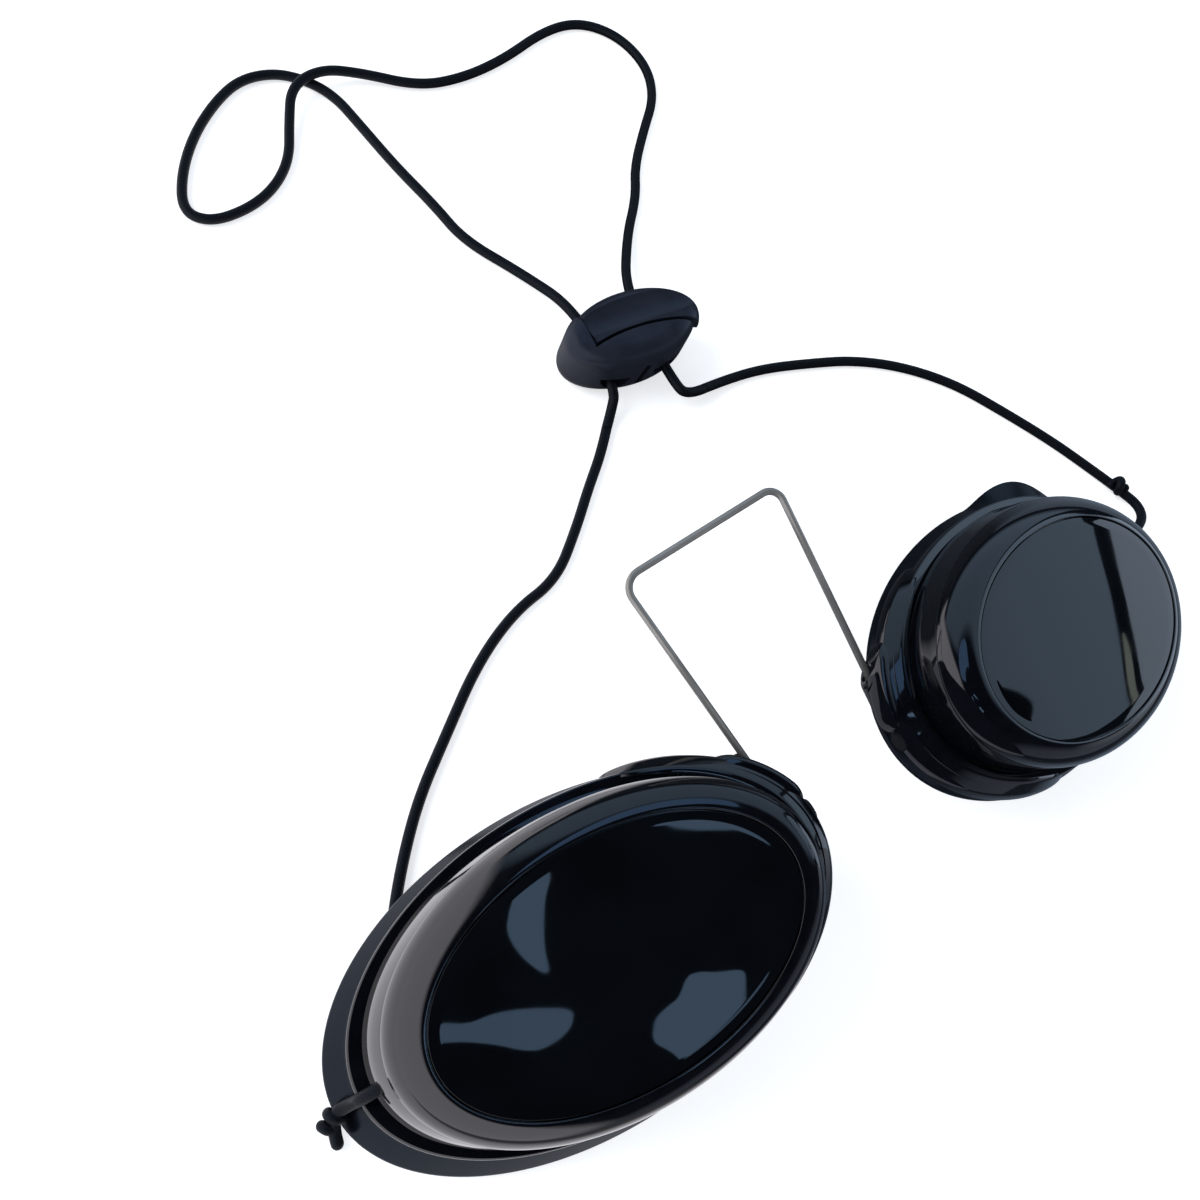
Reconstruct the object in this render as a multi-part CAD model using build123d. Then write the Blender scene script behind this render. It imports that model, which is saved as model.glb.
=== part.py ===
from build123d import *
import math
import os

os.makedirs("parts", exist_ok=True)

# Tanning goggles lying lens side up in a low tent, with their cord behind them.
# X runs from the left eyepiece to the right one, Y up the face and Z up from the table, in millimetres.
# An eyepiece is drawn in its own frame: X toward the nose, Y up the face, Z forward from the lens face.

overrun = 60.0
fit_gap = 0.15
seam = 0.2

# lens
lens_length = 46.8
lens_width = 27.6
lens_boss = 0.8
lens_flange = 1.4
lens_flange_thick = 1.6
lens_round = 0.3

# bezel, a rounded snap cap that holds the lens
bezel_rise = 0.35
bezel_lip = 0.8
bezel_skirt = 1.2
neck_wall = 0.8
# each row of the rounded rim: share of its drop, then share of its flare
rim_shares = [(0.0, 0.0), (0.13, 0.5), (0.5, 0.87), (0.83, 0.985), (1.0, 1.0)]

# shell wall, whose ovals drift toward the temple as they go back
ledge = 2.4
ledge_thick = 2.2
wall = 1.8
ridge_flare = 12.0
ridge_flare_up = 5.8
ridge_along = -2.2
ridge_up = 1.6
ridge_depth = 9.4
ridge_thick = 1.6
ridge_round = 0.5
undercut_inset = 3.4
spigot_inset = 3.8
spigot_height = 2.0
# each row: share of the drop from the wall's top to the ridge, then length, width, along and up shares of the ridge
wall_shares = [
    (0.0, 0.886, 0.926, 0.41, 0.62),
    (0.4, 0.904, 0.934, 0.86, 0.78),
    (0.893, 0.918, 0.947, 1.20, 0.94),
]

# soft skirt
skirt_flare = 3.8
skirt_flare_up = 2.6
skirt_drift = -2.3
skirt_drift_up = -0.3
skirt_gap = 0.4
skirt_drop = 3.6
skirt_lip_drop = 1.0
skirt_wall = 2.0
# each row: share of the drop from the skirt's top to its flare, then length, width, along and up shares
skirt_shares = [
    (0.0, 0.922, 0.912, 0.53, 1.23),
    (0.3, 0.934, 0.926, 0.64, 1.18),
    (1.0, 1.0, 1.0, 1.0, 1.0),
]
lip_share = 0.985

# band that clips over the nose end of the ridge and carries the wire's sleeve
band_start = 10.0
band_wall = 1.15
band_front = 0.6
band_back = 1.0
band_corner = 1.2
lug_proud = 0.8
lug_length = 9.0
lug_drop = 2.2
lug_shift = 0.9

# bridge wire and its sleeves
wire_diameter = 1.0
bridge_half = 12.55
bridge_y = 27.96
left_corner_height = 21.12
right_corner_height = 24.61
left_bend = 2.6
right_bend = 2.0
leg_length = 31.25
left_toe_in = 3.94
right_toe_in = 4.37
left_dip = 7.23
right_dip = 11.95
left_swing = 13.9
right_swing = 14.3
sleeve_inset = 1.94
sleeve_up = 8.25
sleeve_drop = 2.06
sleeve_lean = 5.14
sleeve_rise = 7.41
sleeve_wall = 0.9
sleeve_grip = 5.0
sleeve_floor = 3.4
running_gap = 0.05

# cord
cord_diameter = 1.6
cord_gap = 0.12
anchor_bend = 1.4
notch_gap = 0.2
cord_lead = 3.2
eyelet_rise = 1.8
tail_length = 3.2
tail_rise_share = 0.24
tail_drop = 0.6

# cord lock, with its long side along X and the cords along Y in its own frame
lock_x = 18.6
lock_y = 62.86
lock_turn = -8.0
lock_length = 22.0
lock_width = 12.3
lock_height = 10.4
lock_round = 2.8
bore_spread = 8.9
bore_height = 3.9
pocket_width = 4.6
pocket_drop = 2.6
pocket_depth = 2.5
slit_width = 1.0
slit_height = 5.6
slit_depth = 1.2
slit_lean = 9.0
button_travel = 1.8
button_floor = 0.5
button_end_wall = 3.4
button_gap = 0.5
button_overhang = 0.9
button_front = 1.1
arc_radius = 29.0
cove_radius = 4.2
cove_depth = 0.9
cove_back = 1.9
tongue_width = 14.2
tongue_thick = 2.2
tongue_back = 1.0
tongue_web = 0.8
window_gap = 0.1

lens_opening_length = lens_length + 4 * fit_gap
lens_opening_width = lens_width + 4 * fit_gap
flange_length = lens_length + 2 * lens_flange
flange_width = lens_width + 2 * lens_flange
flange_back = lens_boss + lens_flange_thick
neck_length = flange_length + 2 * neck_wall
neck_width = flange_width + 2 * neck_wall
bezel_depth = flange_back + bezel_skirt
wall_top = bezel_depth + seam
ridge_length = neck_length + ridge_flare
ridge_width = neck_width + ridge_flare_up
ridge_back = ridge_depth + ridge_thick
spigot_depth = ridge_back + spigot_height
eyelet_depth = ridge_depth - eyelet_rise
skirt_length = ridge_length + skirt_flare
skirt_width = ridge_width + skirt_flare_up
skirt_along = ridge_along + skirt_drift
skirt_up = ridge_up + skirt_drift_up
skirt_flare_depth = ridge_back + skirt_gap + skirt_drop
eye_depth = skirt_flare_depth + skirt_lip_drop
lug_depth = ridge_back + lug_drop
sleeve_out = ridge_along + ridge_length / 2 - sleeve_inset
sleeve_depth = ridge_back + sleeve_drop
leg_radius = wire_diameter / 2
sleeve_bore = leg_radius + running_gap
sleeve_radius = sleeve_bore + sleeve_wall
cord_radius = cord_diameter / 2
eyelet_radius = cord_radius + cord_gap
bore_radius = cord_radius + cord_gap


def oval(length, width, along, up, depth):
    return Pos(along, up, -depth) * Ellipse(length / 2, width / 2)


def oval_block(length, width, along, up, front, back):
    return extrude(oval(length, width, along, up, back), back - front)


def top_edges(solid):
    return solid.faces().sort_by(Axis.Z)[-1].edges()


def bottom_edges(solid):
    return solid.faces().sort_by(Axis.Z)[0].edges()


def wall_depth(drop_share):
    return wall_top + (ridge_depth - wall_top) * drop_share


def wall_ovals(inset):
    ovals = []
    for drop_share, length_share, width_share, along_share, up_share in wall_shares:
        ovals.append(oval(
            ridge_length * length_share - 2 * inset,
            ridge_width * width_share - 2 * inset,
            ridge_along * along_share,
            ridge_up * up_share,
            wall_depth(drop_share),
        ))
    return ovals


def lens():
    boss = oval_block(lens_length, lens_width, 0, 0, 0, flange_back)
    boss = fillet(top_edges(boss), lens_round)
    return boss + oval_block(flange_length, flange_width, 0, 0, lens_boss, flange_back)


def rim_ovals():
    crest_length = lens_opening_length + 2 * bezel_lip
    crest_width = lens_opening_width + 2 * bezel_lip
    length_share, width_share, along_share, up_share = wall_shares[0][1:]
    ovals = []
    for drop_share, flare_share in rim_shares:
        ovals.append(oval(
            crest_length + (ridge_length * length_share - crest_length) * flare_share,
            crest_width + (ridge_width * width_share - crest_width) * flare_share,
            ridge_along * along_share * drop_share,
            ridge_up * up_share * drop_share,
            (bezel_depth + bezel_rise) * drop_share - bezel_rise,
        ))
    return ovals


def bezel():
    ring = loft(rim_ovals())
    ring -= oval_block(lens_opening_length, lens_opening_width, 0, 0, -overrun, overrun)
    ring -= oval_block(flange_length + 2 * fit_gap, flange_width + 2 * fit_gap, 0, 0, lens_boss, overrun)
    return ring - oval_block(neck_length + 2 * fit_gap, neck_width + 2 * fit_gap, 0, 0, flange_back, overrun)


def shell():
    wall_foot = wall_depth(wall_shares[-1][0])
    body = loft(wall_ovals(0))
    body += oval_block(neck_length, neck_width, 0, 0, flange_back, wall_top + seam)
    body += oval_block(
        ridge_length - 2 * undercut_inset,
        ridge_width - undercut_inset,
        ridge_along,
        ridge_up,
        wall_foot - seam,
        ridge_depth + seam,
    )
    ridge = oval_block(ridge_length, ridge_width, ridge_along, ridge_up, ridge_depth, ridge_back)
    body += fillet(top_edges(ridge) + bottom_edges(ridge), ridge_round)
    spigot_length = ridge_length - 2 * spigot_inset
    spigot_width = ridge_width - spigot_inset
    body += oval_block(spigot_length, spigot_width, ridge_along, ridge_up, ridge_depth, spigot_depth)
    body -= oval_block(
        flange_length - 2 * ledge,
        flange_width - 2 * ledge,
        0,
        0,
        -overrun,
        overrun,
    )
    hollow = wall_ovals(wall)
    hollow[0] = Pos(0, 0, -(flange_back + ledge_thick - wall_top)) * hollow[0]
    body -= loft(hollow)
    body -= oval_block(
        ridge_length - 2 * undercut_inset - 2 * wall,
        ridge_width - undercut_inset - 2 * wall,
        ridge_along,
        ridge_up,
        wall_foot - seam,
        overrun,
    )
    body -= Pos(0, ridge_up, -eyelet_depth) * Rot(0, -90, 0) * extrude(Circle(eyelet_radius), overrun)
    return body - anchor_notch()


def side_turn(side):
    return 1 if side == "left" else -1


def leg_direction(side):
    toe_in = math.radians(left_toe_in if side == "left" else right_toe_in)
    dip = math.radians(left_dip if side == "left" else right_dip)
    across = math.cos(dip) * math.sin(toe_in)
    return Vector(-side_turn(side) * across, math.cos(dip) * math.cos(toe_in), math.sin(dip))


def bridge_corner(side):
    height = left_corner_height if side == "left" else right_corner_height
    return Vector(-side_turn(side) * bridge_half, bridge_y, height)


def leg_toe(side):
    return bridge_corner(side) - leg_direction(side) * leg_length


def sleeve_plane(side):
    lean = -math.tan(math.radians(sleeve_lean)) * side_turn(side)
    rise = math.tan(math.radians(sleeve_rise))
    spot = (sleeve_out * side_turn(side), sleeve_up, -sleeve_depth)
    return Plane(origin=spot, x_dir=(1, 0, 0), z_dir=(lean, 1, rise))


def eyepiece_place(side):
    # the sleeve of the eyepiece slides on the leg of the wire, turned by the swing of that side
    swing = -left_swing if side == "left" else right_swing
    leg = Plane(origin=leg_toe(side), x_dir=(1, 0, 0), z_dir=leg_direction(side))
    return leg.location * Rot(0, 0, swing) * sleeve_plane(side).location.inverse()


def anchor_points(side):
    temple = ridge_along - ridge_length / 2
    skirt_end = skirt_along - skirt_length / 2
    points = [
        (temple + undercut_inset + wall, ridge_up, -eyelet_depth),
        (temple + cord_radius + notch_gap, ridge_up, -eyelet_depth),
        (temple - cord_radius, ridge_up, -ridge_back - notch_gap),
        (skirt_end, ridge_up, -spigot_depth),
    ]
    if side == "left":
        points.append((skirt_end - cord_radius, ridge_up - tail_length, -spigot_depth - tail_drop))
    else:
        points.append((skirt_end - tail_length, ridge_up, -spigot_depth + tail_length * tail_rise_share))
    return [Vector(*point) for point in points]


def tube(points, radii, radius):
    path = FilletPolyline(*points, radius=radii)
    start = Plane(origin=path @ 0, z_dir=path % 0)
    return sweep(start * Circle(radius), path=path)


def anchor(side):
    points = anchor_points(side)
    return tube(points, [anchor_bend, anchor_bend, anchor_bend], cord_radius)


def anchor_notch():
    first, last = anchor_points("left")[1:3]
    along = last - first
    start = Plane(origin=first, z_dir=along)
    return extrude(start * Circle(cord_radius + notch_gap), along.length)


def skirt_ovals(inset):
    top = ridge_back + skirt_gap
    drop = skirt_flare_depth - top
    ovals = []
    for drop_share, length_share, width_share, along_share, up_share in skirt_shares:
        ovals.append(oval(
            skirt_length * length_share - 2 * inset,
            skirt_width * width_share - 2 * inset,
            skirt_along * along_share,
            skirt_up * up_share,
            top + drop * drop_share,
        ))
    return ovals


def skirt_lip(inset, front, back):
    return oval_block(
        skirt_length * lip_share - 2 * inset,
        skirt_width * lip_share - 2 * inset,
        skirt_along,
        skirt_up,
        front,
        back,
    )


def skirt():
    lip = oval(skirt_length * lip_share, skirt_width * lip_share, skirt_along, skirt_up, eye_depth)
    body = loft(skirt_ovals(0) + [lip])
    hole_length = ridge_length - 2 * spigot_inset + 2 * fit_gap
    hole_width = ridge_width - spigot_inset + 2 * fit_gap
    body -= oval_block(hole_length, hole_width, ridge_along, ridge_up, -overrun, spigot_depth + seam)
    hollow = loft([
        oval(hole_length, hole_width, ridge_along, ridge_up, spigot_depth),
        skirt_ovals(skirt_wall)[-1],
        oval(
            skirt_length * lip_share - 2 * skirt_wall,
            skirt_width * lip_share - 2 * skirt_wall,
            skirt_along,
            skirt_up,
            eye_depth,
        ),
    ])
    body -= hollow
    body -= skirt_lip(skirt_wall, eye_depth - seam, overrun)
    relief = Cylinder(sleeve_radius + 2 * fit_gap, overrun)
    return body - sleeve_plane("left").location * relief


def nose_band():
    front = ridge_depth - band_front
    back = ridge_back + band_back
    outer_length = ridge_length + 2 * fit_gap + 2 * band_wall
    outer_width = ridge_width + 2 * fit_gap + 2 * band_wall
    band = oval_block(outer_length, outer_width, ridge_along, ridge_up, front, back)
    window = Rot(90, 0, 0) * RectangleRounded(overrun, back - front, band_corner)
    window = Pos(band_start + overrun / 2, 0, -(front + back) / 2) * window
    band &= extrude(window, overrun, both=True)
    lug = oval_block(
        outer_length + 2 * lug_proud,
        outer_width + 2 * lug_proud,
        ridge_along,
        ridge_up,
        front,
        lug_depth,
    )
    frame = RectangleRounded(lug_length, lug_depth - front - band_front, band_corner)
    frame = Pos(sleeve_up + lug_shift, -(lug_depth + front + band_front) / 2) * frame
    lug &= extrude(Plane.YZ * frame, overrun)
    band += lug
    band -= oval_block(
        ridge_length + 2 * fit_gap,
        ridge_width + 2 * fit_gap,
        ridge_along,
        ridge_up,
        ridge_depth - fit_gap,
        overrun,
    )
    band -= oval_block(
        ridge_length * wall_shares[-1][1] + 4 * fit_gap,
        ridge_width * wall_shares[-1][2] + 4 * fit_gap,
        ridge_along * wall_shares[-1][3],
        ridge_up * wall_shares[-1][4],
        -overrun,
        overrun,
    )
    sleeve = Cylinder(sleeve_radius, sleeve_grip + sleeve_floor, align=(Align.CENTER, Align.CENTER, Align.MIN))
    band += sleeve_plane("left").location * Pos(0, 0, -sleeve_floor) * sleeve
    bore = Cylinder(sleeve_bore, overrun, align=(Align.CENTER, Align.CENTER, Align.MIN))
    return band - sleeve_plane("left").location * Pos(0, 0, -fit_gap) * bore


def bridge_wire():
    points = [leg_toe("left"), bridge_corner("left"), bridge_corner("right"), leg_toe("right")]
    return tube(points, [left_bend, right_bend], leg_radius)


def pebble():
    solid = extrude(Ellipse(lock_length / 2, lock_width / 2), lock_height)
    return fillet(top_edges(solid) + bottom_edges(solid), lock_round)


def button_space(gap, bottom):
    # the room behind the front arc and right of the end wall, narrowed by the gap
    left = button_end_wall - lock_length / 2 + gap
    space = Pos(left, 0, bottom) * Box(
        overrun, overrun, overrun, align=(Align.MIN, Align.CENTER, Align.MIN)
    )
    arc = Cylinder(arc_radius + gap, 3 * overrun)
    space -= Pos(0, -button_front - arc_radius, 0) * arc
    return space - Pos(0, -button_front - arc_radius, 0) * Box(
        4 * overrun, 2 * arc_radius, 3 * overrun, align=(Align.CENTER, Align.MAX, Align.CENTER)
    )


def lock_floor():
    return bore_height + bore_radius + button_floor


def tongue_bottom():
    return bore_height - cord_diameter / 2 - window_gap - tongue_web


def lock_body():
    body = pebble() - button_space(0, lock_floor())
    floor_depth = lock_width / 2 - pocket_depth
    top = bore_height + bore_radius
    for side in (-1, 1):
        across = side * bore_spread / 2
        body -= Pos(across, 0, bore_height) * Rot(90, 0, 0) * Cylinder(bore_radius, overrun)
        pocket = Pos(across, top) * Ellipse(pocket_width / 2, pocket_drop)
        pocket -= Pos(across, top) * Rectangle(pocket_width, pocket_drop, align=(Align.CENTER, Align.MIN))
        for face in (-1, 1):
            body -= Pos(0, face * floor_depth, 0) * Rot(90, 0, 0) * extrude(pocket, -face * overrun)
    slit = Box(slit_width, slit_depth, slit_height, align=(Align.CENTER, Align.MAX, Align.CENTER))
    body -= Pos(0, slit_depth - lock_width / 2, bore_height + bore_radius / 2) * Rot(0, slit_lean, 0) * slit
    slot_bottom = tongue_bottom() - button_travel - fit_gap
    slot = Box(
        tongue_width + 2 * fit_gap,
        tongue_thick + 2 * fit_gap,
        overrun,
        align=(Align.CENTER, Align.CENTER, Align.MIN),
    )
    body -= Pos(0, tongue_back, slot_bottom) * slot
    return lock_place() * body


def lock_button():
    bottom = lock_floor() + button_travel
    cap = Pos(button_overhang, 0, 0) * pebble() & button_space(button_gap, bottom)
    cove = Rot(0, 90, 0) * Cylinder(cove_radius, overrun)
    cap -= Pos(0, cove_back, lock_height + cove_radius - cove_depth) * cove
    tongue = Box(
        tongue_width,
        tongue_thick,
        bottom + seam - tongue_bottom(),
        align=(Align.CENTER, Align.CENTER, Align.MIN),
    )
    button = cap + Pos(0, tongue_back, tongue_bottom()) * tongue
    window_height = cord_diameter + 2 * window_gap + button_travel
    window = SlotOverall(window_height, cord_diameter + 4 * window_gap, rotation=90)
    window_middle = bore_height + button_travel / 2
    for side in (-1, 1):
        hole = extrude(Rot(90, 0, 0) * window, overrun, both=True)
        button -= Pos(side * bore_spread / 2, 0, window_middle) * hole
    return lock_place() * button


def lock_place():
    return Pos(lock_x, lock_y, 0) * Rot(0, 0, lock_turn)


def corner_radii(points):
    radii = []
    for before, here, after in zip(points, points[1:], points[2:]):
        turn = math.radians((here - before).get_angle(after - here))
        shorter = min((here - before).length, (after - here).length)
        radii.append(0.45 * shorter / math.tan(turn / 2))
    return radii


def cord(name, points):
    points = [Vector(*point) for point in points]
    radii = corner_radii(points)
    solid = tube(points, radii, cord_radius)
    path = FilletPolyline(*points, radius=radii)
    ratio = solid.volume / (path.length * math.pi * cord_radius ** 2)
    print(name, "length", round(path.length, 1), "volume over section times length", round(ratio, 4))
    print("radii", [round(radius, 1) for radius in radii])
    return solid


def in_world(side, point):
    return (eyepiece_place(side) * Pos(*point)).position


# cord routes, chosen by hand along the photographed cord
# each side cord swings with its eyepiece, so it stops short of the lock and the loop carries on through it
left_route = [
    (-63.92, -6.84, 9.81),
    (-61.71, -4.34, 5.85),
    (-60.82, 0.19, 2.39),
    (-59.03, 4.83, 1.21),
    (-55.9, 9.16, 0.83),
    (-50.8, 14.86, 0.82),
    (-44.8, 20.46, 0.82),
    (-37.4, 25.56, 0.82),
    (-28.2, 31.86, 0.82),
    (-19.4, 35.66, 0.82),
    (-11.3, 36.66, 0.82),
    (-3.7, 41.46, 0.82),
    (2.0, 46.05, 0.82),
    (6.075, 49.263, 0.82),
    (7.9, 50.65, 1.55),
]
right_route = [
    (26.6, 51.1, 2.1),
    (31.2, 51.1, 0.95),
    (38.5, 49.86, 0.82),
    (46.5, 46.96, 0.82),
    (54.1, 43.76, 0.82),
    (61.3, 38.76, 0.82),
    (67.7, 31.86, 0.82),
    (72.3, 23.66, 0.82),
    (76.6, 15.26, 0.82),
    (79.6, 7.86, 0.82),
    (81.7, 2.16, 0.9),
    (82.6, -1.94, 1.3),
    (80.15, -4.45, 1.94),
]
loop_start = [(7.9, 50.65, 1.55), (10.4, 52.55, 2.55)]
loop_route = [
    (11.9, 84.26, 0.84),
    (8.3, 90.86, 0.82),
    (7.3, 98.26, 0.82),
    (5.7, 106.86, 0.82),
    (4.7, 116.26, 0.82),
    (4.0, 122.26, 0.82),
    (1.4, 126.86, 0.82),
    (-2.6, 129.96, 0.82),
    (-8.0, 130.66, 0.82),
    (-13.3, 128.46, 0.82),
    (-19.2, 124.36, 0.82),
    (-24.3, 118.86, 0.82),
    (-27.5, 112.86, 0.82),
    (-24.8, 109.56, 0.82),
    (-19.0, 109.26, 0.82),
    (-13.5, 110.86, 0.82),
    (-8.6, 114.66, 0.86),
    (-5.5, 120.06, 1.6),
    (-2.2, 125.16, 2.75),
    (3.6, 126.36, 2.75),
    (9.6, 124.26, 1.6),
    (17.3, 118.96, 0.84),
    (24.6, 117.46, 0.82),
    (33.4, 117.96, 0.82),
    (43.6, 120.46, 0.82),
    (50.6, 119.76, 0.82),
    (55.4, 114.86, 0.82),
    (56.6, 107.66, 0.82),
    (53.8, 101.26, 0.82),
    (47.8, 96.16, 0.82),
    (42.0, 90.76, 0.82),
    (38.6, 85.66, 0.84),
    (32.4, 79.86, 1.0),
]
loop_end = [(23.4, 51.1, 2.9), (26.6, 51.1, 2.1)]


def lock_mouth(side, along):
    spot = lock_place() * Pos(side * bore_spread / 2, along, bore_height)
    return spot.position


lock_entry = lock_width / 2 + cord_lead
lock_exit = lock_width / 2 + cord_diameter

parts = {}
for side in ("left", "right"):
    place = eyepiece_place(side)
    pieces = {
        "shell": shell(),
        "bezel": bezel(),
        "lens": lens(),
        "skirt": skirt(),
        "nose_band": nose_band(),
        "cord_anchor": anchor(side),
    }
    for name, piece in pieces.items():
        if side == "right":
            piece = mirror(piece, about=Plane.YZ)
        piece = place * piece
        if name == "skirt":
            piece -= Box(6 * overrun, 6 * overrun, overrun, align=(Align.CENTER, Align.CENTER, Align.MAX))
        parts[side + "_" + name] = piece

left_start = in_world("left", anchor_points("left")[0])
tail = anchor_points("right")[-1]
right_end = in_world("right", (-tail.X, tail.Y, tail.Z))
parts["bridge_wire"] = bridge_wire()
parts["lock_body"] = lock_body()
parts["lock_button"] = lock_button()
parts["cord_left"] = cord("left", [left_start] + left_route)
parts["cord_right"] = cord("right", right_route + [right_end])
parts["cord_loop"] = cord(
    "loop",
    loop_start
    + [lock_mouth(-1, -lock_entry), lock_mouth(-1, lock_exit)]
    + loop_route
    + [lock_mouth(1, lock_exit), lock_mouth(1, -lock_entry)]
    + loop_end,
)

for name, piece in parts.items():
    piece.label = name
    export_step(piece, "parts/" + name + ".step")
    print(name, round(piece.volume, 1))
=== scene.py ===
import bmesh
import bpy
import math
from mathutils import Matrix, Vector
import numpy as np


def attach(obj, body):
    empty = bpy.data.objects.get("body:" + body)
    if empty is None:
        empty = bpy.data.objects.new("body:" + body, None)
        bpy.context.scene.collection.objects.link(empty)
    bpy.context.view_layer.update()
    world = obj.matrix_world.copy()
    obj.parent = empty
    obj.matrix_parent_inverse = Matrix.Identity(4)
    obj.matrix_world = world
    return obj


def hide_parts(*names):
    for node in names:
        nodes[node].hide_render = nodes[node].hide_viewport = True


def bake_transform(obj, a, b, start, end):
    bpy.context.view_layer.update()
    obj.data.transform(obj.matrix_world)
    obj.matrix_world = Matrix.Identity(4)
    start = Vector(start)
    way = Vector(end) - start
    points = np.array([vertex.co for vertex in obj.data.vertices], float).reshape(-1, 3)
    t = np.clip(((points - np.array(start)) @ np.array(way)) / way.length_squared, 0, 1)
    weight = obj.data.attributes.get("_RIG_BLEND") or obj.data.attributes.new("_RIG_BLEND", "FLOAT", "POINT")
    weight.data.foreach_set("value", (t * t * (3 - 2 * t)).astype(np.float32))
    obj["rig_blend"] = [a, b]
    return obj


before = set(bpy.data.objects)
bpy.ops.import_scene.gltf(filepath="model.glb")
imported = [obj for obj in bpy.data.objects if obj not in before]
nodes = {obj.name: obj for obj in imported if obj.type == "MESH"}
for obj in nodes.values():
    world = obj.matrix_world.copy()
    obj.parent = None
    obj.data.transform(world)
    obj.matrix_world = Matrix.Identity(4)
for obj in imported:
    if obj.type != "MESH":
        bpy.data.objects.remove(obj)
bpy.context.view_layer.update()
milli = 0.001
seamGap = 0.0004  # corners nearer than this, in millimetres, become one
sides = ("left", "right")


# places, in millimetres as in the part's source
wireSizes = {
    "half": 12.55, "y": 27.96, "heights": (21.12, 24.61), "length": 31.25,
    "toeIn": (3.94, 4.37), "dip": (7.23, 11.95), "swing": (-13.9, 14.3),
    "radius": 0.5, "bends": (2.6, 2.0), "sides": 32,
}
sleeveSizes = {
    "out": 27.46, "up": 8.25, "depth": 13.06, "lean": 5.14, "rise": 7.41,
    "sides": 48, "cutBack": 0.66, "floor": 0.2, "shellDepth": -11,
    # radius and height from the closed end, over the mouth and down the bore
    "profile": [
        (0.0, -3.4), (1.15, -3.4), (1.36, -3.3), (1.45, -3.05), (1.45, 4.65), (1.36, 4.9), (1.15, 5.0),
        (0.7, 5.0), (0.57, 4.9), (0.55, 4.7), (0.55, 0.2), (0.0, 0.2),
    ],
}


def axes(origin, along):
    # a frame at origin whose Z runs along the given direction and whose X leans to world X
    z = along.normalized()
    x = (Vector((1, 0, 0)) - z * z.x).normalized()
    turn = Matrix((x, z.cross(x), z)).transposed().to_4x4()
    return Matrix.Translation(origin) @ turn


def legDirection(side):
    i = sides.index(side)
    toeIn, dip = (math.radians(wireSizes[key][i]) for key in ("toeIn", "dip"))
    across = math.cos(dip) * math.sin(toeIn)
    return Vector((across if i else -across, math.cos(dip) * math.cos(toeIn), math.sin(dip)))


def bridgeCorner(side):
    i = sides.index(side)
    half = wireSizes["half"]
    return Vector((half if i else -half, wireSizes["y"], wireSizes["heights"][i]))


def legToe(side):
    return bridgeCorner(side) - legDirection(side) * wireSizes["length"]


def sleeveFrame(flip):
    lean = -math.tan(math.radians(sleeveSizes["lean"])) * flip
    rise = math.tan(math.radians(sleeveSizes["rise"]))
    spot = Vector((sleeveSizes["out"] * flip, sleeveSizes["up"], -sleeveSizes["depth"]))
    return axes(spot, Vector((lean, 1, rise)))


def eyepiecePlace(side):
    i = sides.index(side)
    swing = Matrix.Rotation(math.radians(wireSizes["swing"][i]), 4, "Z")
    place = axes(legToe(side), legDirection(side)) @ swing @ sleeveFrame(-1 if i else 1).inverted()
    mirror = Matrix.Diagonal((-1 if i else 1, 1, 1, 1))
    return place @ mirror


places = {side: eyepiecePlace(side) for side in sides}


# mesh helpers
def finishMesh(name, bm):
    # closes seams and poles, turns the faces outwards and scales the piece to metres
    bmesh.ops.remove_doubles(bm, verts=bm.verts, dist=seamGap)
    bmesh.ops.recalc_face_normals(bm, faces=bm.faces)
    bmesh.ops.scale(bm, vec=Vector((milli, milli, milli)), verts=bm.verts)
    mesh = bpy.data.meshes.new(name)
    bm.to_mesh(mesh)
    bm.free()
    mesh.shade_smooth()
    piece = bpy.data.objects.new(name, mesh)
    bpy.context.scene.collection.objects.link(piece)
    return piece


def pick(made, kind):
    # the corners, edges or faces among what an operator made
    return [item for item in made["geom"] if isinstance(item, kind)]


def carryCircle(bm, rows, columns, spotAt):
    # a circle extruded from row to row, whose corners remember their turn round it
    turns = bm.verts.layers.float.new("turn")
    bmesh.ops.create_circle(bm, segments=columns, radius=1.0)
    ring, edges = list(bm.verts), list(bm.edges)
    for vert in ring:
        vert[turns] = math.atan2(vert.co.y, vert.co.x)
    for k, row in enumerate(rows):
        if k:
            made = bmesh.ops.extrude_edge_only(bm, edges=edges)
            ring = pick(made, bmesh.types.BMVert)
            edges = [edge for edge in pick(made, bmesh.types.BMEdge) if edge.is_boundary]
        for vert in ring:
            vert.co = spotAt(row, vert[turns])
    bm.verts.layers.float.remove(turns)


def roundedRows(corners, steps=6):
    # each corner is half length, half width, along, up, height and rounding
    rows = []
    count = len(corners)
    for i, corner in enumerate(corners):
        here = Vector(corner[:5])
        before, after = Vector(corners[i - 1][:5]), Vector(corners[(i + 1) % count][:5])
        toBefore, toAfter = before - here, after - here
        cut = min(corner[5], 0.45 * toBefore.length, 0.45 * toAfter.length)
        if cut < 0.02:
            rows.append(here)
            continue
        start = here + toBefore * (cut / toBefore.length)
        end = here + toAfter * (cut / toAfter.length)
        for k in range(steps + 1):
            t = k / steps
            rows.append(start * (1 - t) ** 2 + here * (2 * t * (1 - t)) + end * t ** 2)
    return rows


def ovalPoint(row, angle):
    a, b, along, up, height = row
    return Vector((along + a * math.cos(angle), up + b * math.sin(angle), height))


def ovalBody(name, corners, side, steps=6, change=None):
    # a closed profile carried round the whole oval
    rows = roundedRows(corners, steps)

    def spotAt(row, angle):
        point = ovalPoint(row, angle)
        return places[side] @ (change(point) if change else point)

    bm = bmesh.new()
    carryCircle(bm, rows + rows[:1], ovalColumns, spotAt)
    return finishMesh(name, bm)


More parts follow.
